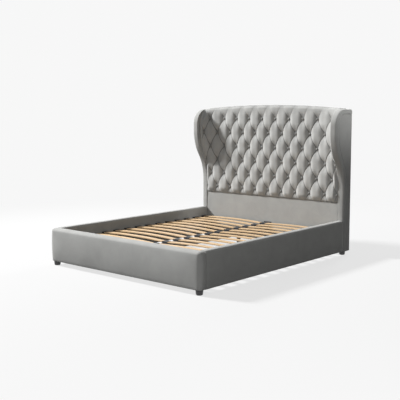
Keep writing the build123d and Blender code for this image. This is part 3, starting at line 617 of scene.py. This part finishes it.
def wing_side_panel(side, name):
    """Smooth padded outer side of the wing and headboard, with rolled edges along its seams."""
    inset = border_wrap + air
    radius = wing_round - inset
    rim = []
    for z in np.linspace(foot_height, round_z, 120):
        lean = float(wing_lean(z))
        rim.append((float(wing_front_y(z)) + inset * math.cos(lean), z + inset * math.sin(lean)))
    for angle in np.linspace(0, math.pi / 2, 24)[1:]:
        rim.append((wing_y + wing_round - radius * math.cos(angle), round_z + radius * math.sin(angle)))
    rim = np.array(rim)
    top = shoulder_z - inset
    near = np.array([0, 0.3, 1.0, 2.2, 4.0, 7.0]) / 1000
    between = np.arange(1, 13) / 13
    heights = np.concatenate([foot_height + near, np.linspace(foot_height + 0.02, round_z, 60),
                              round_z + (top - round_z) * np.sin(np.linspace(0, math.pi / 2, 22))[1:-3],
                              top - near[::-1]])
    outer, inner = [], []
    for z in heights:
        start = float(np.interp(z, rim[:, 1], rim[:, 0]))
        width = back_y - start
        middle = start + near[-1] + (width - 2 * near[-1]) * between
        for y in np.concatenate([start + near, middle, back_y - near[::-1]]):
            away = min(y - start, back_y - y, z - foot_height, top - z)
            slot = max(seam_edge - away, 0)
            drop = seam_edge - math.sqrt(max(seam_edge**2 - slot**2, 0))
            if top - z < min(y - start, back_y - y):
                drop *= top_seam_share
            rise = side_crown * math.sin(math.pi * min(max((y - start) / width, 0), 1))
            outer.append((side * (edge_x - side_crown - drop + rise), y, z))
            inner.append((side * (edge_x - side_pad), y, z))
    rows = len(heights)
    size = len(outer) // rows
    points = np.array(outer + inner)
    uneven = ripple(points, 21, 0.25, 0.0008)
    skin = np.abs(points[:, 0]) > edge_x - 0.004
    points[:, 0] += side * np.where(skin, np.minimum(uneven, 0.0004), 0)
    base = len(outer)
    faces = []
    for i in range(rows - 1):
        for j in range(size - 1):
            a, b = i * size + j, i * size + j + 1
            c, d = b + size, a + size
            faces.append((a, b, c, d))
            faces.append((base + d, base + c, base + b, base + a))
    ring = [(0, j) for j in range(size)] + [(i, size - 1) for i in range(1, rows)]
    ring += [(rows - 1, j) for j in range(size - 2, -1, -1)] + [(i, 0) for i in range(rows - 2, 0, -1)]
    for (i, j), (k, l) in zip(ring, ring[1:] + ring[:1]):
        faces.append((base + i * size + j, base + k * size + l, k * size + l, i * size + j))
    return outward(mesh_piece(name, points, faces))


# Padded rails, footboard and the headboard's plain parts

def bowed(value, low, high, power=2.0):
    """A crown of one in the middle that falls to nothing at both ends."""
    share = np.clip(np.abs((value - (low + high) / 2) / ((high - low) / 2)), 0, 1)
    return 1 - share**power


def side_rail(side, name):
    """Padded side rail: crowned outside, rolled along the top, with a sewn seam near the head end."""
    low = (well_half, well_foot_y + air, foot_height)
    high = (edge_x, well_head_y - air, rail_top)
    rolls = ((0.014, 0.024), (0.005, 0.005), (0.010, 0.024))
    points, faces, ways = padded_block(low, high, rolls, mesh_pitch)
    outer = np.clip(ways[:, 0], 0, 1)
    top = np.clip(ways[:, 2], 0, 1)
    crown = bowed(points[:, 2], foot_height, rail_top) * bowed(points[:, 1], low[1], high[1], 40)
    seam = np.exp(-((points[:, 1] - rail_seam_y) / rail_seam_width)**2)
    uneven = ripple(points, 31 + side, 0.30, 0.0012)
    points[:, 0] += outer * (rail_crown * crown + uneven - 0.0012 - rail_seam_depth * seam)
    points[:, 2] += top * (ripple(points, 33 + side, 0.35, 0.0010) - 0.0010 - 0.0016 * seam)
    board_low = (rail_board_x[0], well_foot_y + rail_board_end, board_low_z)
    board_high = (rail_board_x[1], well_head_y - rail_board_end, board_high_z)
    points, faces = add_hollow(points, faces, board_low, board_high)
    points[:, 0] *= side
    if side < 0:
        faces = [face[::-1] for face in faces]
    return mesh_piece(name, points, faces)


def footboard():
    """Padded footboard: crowned front, rounded corners and a soft roll along the top."""
    low = (-edge_x, foot_face_y, foot_height)
    high = (edge_x, well_foot_y, rail_top)
    rolls = ((0.036, 0.036), (0.034, 0.014), (0.010, 0.026))
    points, faces, ways = padded_block(low, high, rolls, mesh_pitch)
    front = np.clip(-ways[:, 1], 0, 1)
    end = np.abs(ways[:, 0])
    top = np.clip(ways[:, 2], 0, 1)
    crown = bowed(points[:, 2], foot_height, rail_top)
    wide = bowed(points[:, 0], -edge_x, edge_x, 14)
    points[:, 1] -= front * (front_crown * crown * wide + ripple(points, 41, 0.34, 0.0014) - 0.0014)
    points[:, 0] += np.sign(points[:, 0]) * end * rail_crown * crown
    points[:, 2] += top * (ripple(points, 42, 0.40, 0.0012) - 0.0012)
    board_x = edge_x - foot_board_end
    board_low = (-board_x, well_foot_y - foot_board_depth[0], board_low_z)
    board_high = (board_x, well_foot_y - foot_board_depth[1], board_high_z)
    points, faces = add_hollow(points, faces, board_low, board_high)
    return mesh_piece("footboard_upholstery", points, faces)


def plain_panel():
    """Smooth padded panel below the tufting."""
    low = (-panel_edge_x, well_head_y + 0.002, foot_height)
    high = (panel_edge_x, panel_back_y, panel_low_z - air)
    rolls = ((0.006, 0.006), (0.008, 0.002), (0.004, 0.008))
    points, faces, ways = padded_block(low, high, rolls, 0.024)
    front = np.clip(-ways[:, 1], 0, 1)
    hollow = 0.005 * (1 - bowed(points[:, 2], low[2], high[2]))
    points[:, 1] += front * (hollow + ripple(points, 51, 0.3, 0.001) + 0.001)
    return mesh_piece("plain_panel", points, faces)


def top_strip():
    """Padded strip over the headboard's arched top, rolled down to the back."""
    low = (-panel_edge_x, panel_back_y + air, headboard_height - 0.015)
    high = (panel_edge_x, back_y, headboard_height)
    rolls = ((0.002, 0.002), (0.002, 0.010), (0.002, 0.010))
    points, faces, ways = padded_block(low, high, rolls, mesh_pitch)
    top = np.clip(ways[:, 2], 0, 1)
    points[:, 2] += top * (ripple(points, 61, 0.3, 0.0008) - 0.0008)
    points[:, 2] += arch_z(points[:, 0]) - headboard_height
    return mesh_piece("top_strip", points, faces)


# Materials

def material_nodes(name):
    """A new material with its nodes, links, shader and place on the object."""
    material = bpy.data.materials.new(name)
    material.use_nodes = True
    nodes = material.node_tree.nodes
    shader = nodes["Principled BSDF"]
    place = nodes.new("ShaderNodeTexCoord")
    return material, nodes, material.node_tree.links, shader, place.outputs["Object"]


def noise(nodes, links, place, scale, detail=3.0, rough=0.5, distortion=0.0):
    """Soft noise over the object."""
    node = nodes.new("ShaderNodeTexNoise")
    node.inputs["Scale"].default_value = scale
    node.inputs["Detail"].default_value = detail
    node.inputs["Roughness"].default_value = rough
    node.inputs["Distortion"].default_value = distortion
    links.new(place, node.inputs["Vector"])
    return node.outputs["Fac"]


def bands(nodes, links, place, direction, scale, distortion):
    """Parallel bands across one axis of the object."""
    node = nodes.new("ShaderNodeTexWave")
    node.wave_type = "BANDS"
    node.bands_direction = direction
    node.inputs["Scale"].default_value = scale
    node.inputs["Distortion"].default_value = distortion
    node.inputs["Detail"].default_value = 2.0
    links.new(place, node.inputs["Vector"])
    return node.outputs["Fac"]


def attribute_share(nodes, word):
    """Share that the mesh holds at each point under a word."""
    node = nodes.new("ShaderNodeAttribute")
    node.attribute_name = word
    return node.outputs["Fac"]


def spread(nodes, links, value, low, high):
    """A share spread from low to high."""
    node = nodes.new("ShaderNodeMapRange")
    node.inputs["To Min"].default_value = low
    node.inputs["To Max"].default_value = high
    links.new(value, node.inputs["Value"])
    return node.outputs["Result"]


def ramp(nodes, links, value, stops):
    """Colour that follows a value through its stops."""
    node = nodes.new("ShaderNodeValToRGB")
    while len(node.color_ramp.elements) < len(stops):
        node.color_ramp.elements.new(0.5)
    for element, (position, colour) in zip(node.color_ramp.elements, stops):
        element.position = position
        element.color = (*colour, 1)
    links.new(value, node.inputs["Fac"])
    return node.outputs["Color"]


def multiply(nodes, links, first, second, share=1.0):
    """First colour darkened by the second."""
    node = nodes.new("ShaderNodeMix")
    node.data_type = "RGBA"
    node.blend_type = "MULTIPLY"
    node.inputs["Factor"].default_value = share
    links.new(first, node.inputs["A"])
    links.new(second, node.inputs["B"])
    return node.outputs["Result"]


def blend_values(nodes, links, operation, first, second):
    """Two values, sockets or numbers, joined by one operation."""
    node = nodes.new("ShaderNodeMath")
    node.operation = operation
    for socket, value in zip(node.inputs, (first, second)):
        if isinstance(value, (int, float)):
            socket.default_value = value
        else:
            links.new(value, socket)
    return node.outputs["Value"]


def relief(nodes, links, shader, height, strength, distance):
    """Fine relief of a finish."""
    node = nodes.new("ShaderNodeBump")
    node.inputs["Strength"].default_value = strength
    node.inputs["Distance"].default_value = distance
    links.new(height, node.inputs["Height"])
    links.new(node.outputs["Normal"], shader.inputs["Normal"])


def velvet(name, colour, folds=False):
    """Short-pile velvet: brushed patches in the nap, a fine pile and a soft sheen; with folds, painted shade
    darkens the low folds and the creases.
    """
    material, nodes, links, shader, place = material_nodes(name)
    dark = tuple(value * 0.95 for value in colour)
    light = tuple(min(value * 1.05, 1) for value in colour)
    brushed = noise(nodes, links, place, 9.0, 4.0, 0.55, 0.6)
    tone = ramp(nodes, links, brushed, ((0.32, dark), (0.68, light)))
    pile = noise(nodes, links, place, 950.0, 2.0, 0.6)
    fleck = ramp(nodes, links, pile, ((0.25, (0.90, 0.90, 0.90)), (0.75, (1, 1, 1))))
    tone = multiply(nodes, links, tone, fleck)
    if folds:
        # Painted shade: darker where the tufts sink towards the buttons and along the creases
        for word, stops in (("fold_shade", ((0.20, (0.74, 0.74, 0.74)), (0.50, (1, 1, 1)))),
                            ("crease", ((0.10, (1, 1, 1)), (0.90, (0.52, 0.52, 0.52))))):
            shade = ramp(nodes, links, attribute_share(nodes, word), stops)
            tone = multiply(nodes, links, tone, shade)
    links.new(tone, shader.inputs["Base Color"])
    streak = noise(nodes, links, place, 60.0, 3.0, 0.5, 0.4)
    links.new(spread(nodes, links, streak, 0.78, 0.94), shader.inputs["Roughness"])
    shader.inputs["Sheen Weight"].default_value = 0.35
    shader.inputs["Sheen Roughness"].default_value = 0.45
    shader.inputs["Sheen Tint"].default_value = (0.85, 0.85, 0.84, 1)
    shader.inputs["Specular IOR Level"].default_value = 0.25
    height = blend_values(nodes, links, "ADD", blend_values(nodes, links, "MULTIPLY", pile, 0.5),
                          blend_values(nodes, links, "MULTIPLY", streak, 0.7))
    relief(nodes, links, shader, height, 0.35, 0.0012)
    return material


def timber(name, light, dark, along, rough):
    """Sawn or planed timber with grain that runs along one axis."""
    material, nodes, links, shader, place = material_nodes(name)
    mapping = nodes.new("ShaderNodeMapping")
    mapping.inputs["Scale"].default_value = tuple(0.06 if axis == along else 1.0 for axis in range(3))
    links.new(place, mapping.inputs["Vector"])
    drawn_out = mapping.outputs["Vector"]
    rings = noise(nodes, links, drawn_out, 42.0, 4.0, 0.6, 0.8)
    fibre = noise(nodes, links, drawn_out, 420.0, 3.0, 0.6)
    tone = ramp(nodes, links, rings, ((0.30, dark), (0.52, light), (0.72, tuple(v * 0.93 for v in light))))
    fleck = ramp(nodes, links, fibre, ((0.3, (0.86, 0.84, 0.80)), (0.6, (1, 1, 1))))
    links.new(multiply(nodes, links, tone, fleck), shader.inputs["Base Color"])
    links.new(spread(nodes, links, fibre, rough - 0.07, rough + 0.12), shader.inputs["Roughness"])
    relief(nodes, links, shader, fibre, 0.25, 0.0004)
    return material


def plywood_material(name):
    """Plywood: glued layers across its thickness and a mild face grain."""
    material, nodes, links, shader, place = material_nodes(name)
    glued = bands(nodes, links, place, "Z", 110.0, 1.2)
    grain = noise(nodes, links, place, 55.0, 4.0, 0.6, 1.2)
    tone = ramp(nodes, links, grain, ((0.3, (0.42, 0.30, 0.17)), (0.65, (0.60, 0.46, 0.28))))
    layer = ramp(nodes, links, glued, ((0.2, (0.84, 0.82, 0.78)), (0.7, (1, 1, 1))))
    links.new(multiply(nodes, links, tone, layer, 0.6), shader.inputs["Base Color"])
    shader.inputs["Roughness"].default_value = 0.7
    relief(nodes, links, shader, grain, 0.2, 0.0005)
    return material


def smooth_finish(name, colour, rough, metal, scale, depth, coat=0.0):
    """Painted, moulded or plated finish with a fine even texture and faint wear."""
    material, nodes, links, shader, place = material_nodes(name)
    worn = noise(nodes, links, place, 18.0, 5.0, 0.6)
    fine = noise(nodes, links, place, scale, 2.0, 0.5)
    dark = tuple(value * 0.82 for value in colour)
    light = tuple(min(value * 1.10, 1) for value in colour)
    links.new(ramp(nodes, links, worn, ((0.3, dark), (0.7, light))), shader.inputs["Base Color"])
    links.new(spread(nodes, links, worn, max(rough - 0.08, 0.05), rough + 0.10), shader.inputs["Roughness"])
    shader.inputs["Metallic"].default_value = metal
    shader.inputs["Coat Weight"].default_value = coat
    shader.inputs["Coat Roughness"].default_value = 0.15
    relief(nodes, links, shader, fine, 0.3, depth)
    return material


def backing_cloth(name):
    """Finely woven cloth drawn flat over the back panel."""
    material, nodes, links, shader, place = material_nodes(name)
    threads = [bands(nodes, links, place, direction, 260.0, 0.6) for direction in ("X", "Z")]
    weave = blend_values(nodes, links, "MAXIMUM", *threads)
    patch = noise(nodes, links, place, 6.0, 4.0, 0.5)
    tone = ramp(nodes, links, patch, ((0.3, (0.27, 0.27, 0.262)), (0.7, (0.33, 0.33, 0.32))))
    shade = ramp(nodes, links, weave, ((0.2, (0.75, 0.75, 0.75)), (0.8, (1, 1, 1))))
    links.new(multiply(nodes, links, tone, shade), shader.inputs["Base Color"])
    shader.inputs["Roughness"].default_value = 0.9
    shader.inputs["Sheen Weight"].default_value = 0.15
    relief(nodes, links, shader, weave, 0.4, 0.0004)
    return material


tufted_velvet = velvet("tufted_velvet", (0.378, 0.380, 0.370), folds=True)
plain_velvet = velvet("plain_velvet", (0.322, 0.323, 0.313))
# The buttons take the panel's velvet, painted darker as shade in the deep pits
button_velvet_painted_shade = velvet("button_velvet_painted_shade", (0.225, 0.225, 0.218))
back_cloth = backing_cloth("back_cloth")
pine_light, pine_dark = (0.70, 0.52, 0.30), (0.52, 0.34, 0.17)
beech = timber("beech_slat", (0.66, 0.47, 0.28), (0.52, 0.34, 0.18), 0, 0.40)
pine_along = timber("pine_along", pine_light, pine_dark, 1, 0.6)
pine_across = timber("pine_across", pine_light, pine_dark, 0, 0.6)
pine_upright = timber("pine_upright", pine_light, pine_dark, 2, 0.6)
plywood = plywood_material("plywood")
black_plastic = smooth_finish("black_plastic", (0.030, 0.030, 0.032), 0.48, 0.0, 900.0, 0.0003)
coated_steel = smooth_finish("coated_steel", (0.055, 0.055, 0.058), 0.42, 0.0, 1400.0, 0.0003, 0.2)
zinc_steel = smooth_finish("zinc_steel", (0.62, 0.63, 0.65), 0.30, 1.0, 500.0, 0.0001)
black_foot = smooth_finish("black_foot", (0.012, 0.012, 0.013), 0.35, 0.0, 700.0, 0.0002, 0.4)

node_finishes = [
    (back_cloth, ["headboard_back_cover"]),
    (beech, ["sprung_slats_left", "sprung_slats_right"]),
    (plywood, ["headboard_board", "corner_liner_left", "corner_liner_right", "wing_formers_left",
               "wing_formers_right", "wing_side_board_left", "wing_side_board_right"]),
    (pine_along, ["side_rail_board_left", "side_rail_board_right", "slat_ledger_left", "slat_ledger_right"]),
    (pine_across, ["footboard_board", "headboard_top_rail", "headboard_cross_rail", "headboard_bottom_rail"]),
    (pine_upright, ["headboard_post_left", "headboard_post_right", "headboard_inner_posts"]),
    (black_plastic, ["slat_holders_left", "slat_holders_right", "centre_slat_holders", "foot_pads"]),
    (coated_steel, ["centre_beam", "beam_hanger_foot", "beam_hanger_head", "centre_leg_foot",
                    "centre_leg_head", "corner_brackets"]),
    (zinc_steel, ["corner_bolts", "lock_nut_foot", "lock_nut_head", "screw_glide_foot", "screw_glide_head"]),
    (black_foot, ["front_foot_left", "front_foot_right", "rear_foot_left", "rear_foot_right"]),
]


def dress_nodes():
    """Give every piece that keeps its drawn shape its own finish."""
    for material, names in node_finishes:
        for name in names:
            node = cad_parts[name]
            for slot in node.material_slots:
                slot.material = material
            if not node.material_slots:
                node.data.materials.append(material)


# Studio: levels of the backdrop, the floor and the sky, and each lamp's place, aim, size and power
backdrop_level = 0.931
floor_half = 30
floor_paint = 0.14
floor_lit = 0.215
floor_near = 1.8
floor_far = 5.0
sky_level = 0.16
lamps = [
    ("key", (-12.1, -4.1, 10.3), (0.0, 0.4, 0.8), 2.3, 5700),
    ("front_fill", (0.5, -9.0, 4.0), (0.0, 0.0, 0.5), 2.0, 90),
    ("back_fill", (-1.5, 9.5, 4.0), (0.0, 1.1, 0.8), 2.0, 430),
    ("rail_fill", (4.5, -4.5, 1.8), (0.9, -0.6, 0.2), 1.5, 50),
]
spot_place = (4.2, 1.0, 3.4)
spot_aim = (0.88, 1.02, 1.40)
spot_angle = math.radians(9.5)
spot_power = 850

# Camera: its place, tilt, heading, focal length and shift
camera_place = (4.384, -5.143, 1.36)
camera_tilt = math.radians(84.05)
camera_heading = math.radians(40.87)
camera_lens = 66.5
camera_shift = -0.0275


def seen_directly(nodes, links):
    """One where a ray comes from the camera, a mirror or glass."""
    path = nodes.new("ShaderNodeLightPath").outputs
    first = blend_values(nodes, links, "MAXIMUM", path["Is Camera Ray"], path["Is Glossy Ray"])
    return blend_values(nodes, links, "MAXIMUM", first, path["Is Transmission Ray"])


def studio_floor():
    """Pale floor that meets the backdrop's level and takes a faint shadow near the bed."""
    corners = [(-floor_half, -floor_half, 0), (floor_half, -floor_half, 0),
               (floor_half, floor_half, 0), (-floor_half, floor_half, 0)]
    floor = mesh_piece("studio_floor", corners, [(0, 1, 2, 3)], False)
    material = bpy.data.materials.new("floor_paint")
    material.use_nodes = True
    nodes, links = material.node_tree.nodes, material.node_tree.links
    nodes.clear()
    seen = seen_directly(nodes, links)
    spot = nodes.new("ShaderNodeTexCoord")
    away = nodes.new("ShaderNodeVectorMath")
    away.operation = "LENGTH"
    links.new(spot.outputs["Object"], away.inputs[0])
    near = nodes.new("ShaderNodeMapRange")
    near.interpolation_type = "SMOOTHSTEP"
    near.inputs["From Min"].default_value = floor_near
    near.inputs["From Max"].default_value = floor_far
    near.inputs["To Min"].default_value = 1.0
    near.inputs["To Max"].default_value = 0.0
    links.new(away.outputs["Value"], near.inputs["Value"])
    paint = nodes.new("ShaderNodeCombineColor")
    shade = blend_values(nodes, links, "MULTIPLY", near.outputs["Result"], floor_paint)
    for socket in paint.inputs[:3]:
        links.new(shade, socket)
    diffuse = nodes.new("ShaderNodeBsdfDiffuse")
    links.new(paint.outputs["Color"], diffuse.inputs["Color"])
    glow = nodes.new("ShaderNodeEmission")
    glow.inputs["Color"].default_value = (1, 1, 1, 1)
    lit = blend_values(nodes, links, "MULTIPLY", near.outputs["Result"], floor_lit)
    level = blend_values(nodes, links, "SUBTRACT", backdrop_level, lit)
    strength = blend_values(nodes, links, "MULTIPLY", seen, level)
    links.new(strength, glow.inputs["Strength"])
    both = nodes.new("ShaderNodeAddShader")
    links.new(diffuse.outputs["BSDF"], both.inputs[0])
    links.new(glow.outputs["Emission"], both.inputs[1])
    output = nodes.new("ShaderNodeOutputMaterial")
    links.new(both.outputs["Shader"], output.inputs["Surface"])
    floor.data.materials.append(material)


def studio_world():
    """Pale backdrop where it is seen, and a weaker sky that lights the bed."""
    world = bpy.data.worlds.new("studio")
    bpy.context.scene.world = world
    world.use_nodes = True
    nodes, links = world.node_tree.nodes, world.node_tree.links
    nodes.clear()
    seen = seen_directly(nodes, links)
    mix = nodes.new("ShaderNodeMixShader")
    links.new(seen, mix.inputs["Fac"])
    for socket, level in ((mix.inputs[1], sky_level), (mix.inputs[2], backdrop_level)):
        light = nodes.new("ShaderNodeBackground")
        light.inputs["Color"].default_value = (1, 1, 1, 1)
        light.inputs["Strength"].default_value = level
        links.new(light.outputs["Background"], socket)
    output = nodes.new("ShaderNodeOutputWorld")
    links.new(mix.outputs["Shader"], output.inputs["Surface"])


def aimed(name, data, place, aim):
    """A lamp at a place, turned towards its aim."""
    holder = bpy.data.objects.new(name, data)
    holder.location = place
    way = Vector(aim) - Vector(place)
    holder.rotation_euler = way.to_track_quat("-Z", "Y").to_euler()
    bpy.context.scene.collection.objects.link(holder)


def studio_lamps():
    """Key lamp from the far left, three weak fills, and a soft pool on the wing's upper outer side."""
    for name, place, aim, size, power in lamps:
        lamp = bpy.data.lights.new(name, "AREA")
        lamp.shape = "SQUARE"
        lamp.size = size
        lamp.energy = power
        aimed(name, lamp, place, aim)
    lamp = bpy.data.lights.new("side_spot", "SPOT")
    lamp.spot_size = spot_angle
    lamp.spot_blend = 1.0
    lamp.shadow_soft_size = 0.3
    lamp.energy = spot_power
    aimed("side_spot", lamp, spot_place, spot_aim)


def camera():
    """Camera at the photograph's angle and place."""
    data = bpy.data.cameras.new("camera")
    data.sensor_width = 36.0
    data.lens = camera_lens
    data.shift_y = camera_shift
    data.clip_end = 200
    holder = bpy.data.objects.new("camera", data)
    holder.location = camera_place
    holder.rotation_euler = (camera_tilt, 0, camera_heading)
    bpy.context.scene.collection.objects.link(holder)
    bpy.context.scene.camera = holder


# Assembly

def dress_bed():
    """Put the padded forms and the buttons in place of the plain solids that they stand for."""
    panel = tufted_panel()
    finish_piece(panel, tufted_velvet, "tufted_velvet", "bed_frame",
                 "tufted_pad_middle", "tufted_pad_corner_left", "tufted_pad_corner_right")
    buttons = covered_buttons()
    finish_piece(buttons, button_velvet_painted_shade, "tufted_velvet", "bed_frame", "pad_buttons")
    for side, word in ((-1, "left"), (1, "right")):
        soft = [
            (wing_border(side, "border_" + word), "wing_border_" + word),
            (wing_side_panel(side, "outer_panel_" + word), "wing_outer_pad_" + word),
            (side_rail(side, "side_rail_upholstery_" + word), "side_rail_cover_" + word),
        ]
        for piece, node in soft:
            finish_piece(piece, plain_velvet, "plain_velvet", "bed_frame", node)
    for piece, node in ((footboard(), "footboard_cover"), (plain_panel(), "headboard_lower_pad"),
                        (top_strip(), "headboard_top_cover")):
        finish_piece(piece, plain_velvet, "plain_velvet", "bed_frame", node)


dress_nodes()
dress_bed()
studio_floor()
studio_world()
studio_lamps()
camera()
bpy.context.scene.view_settings.view_transform = "Standard"

bpy.context.view_layer.update()
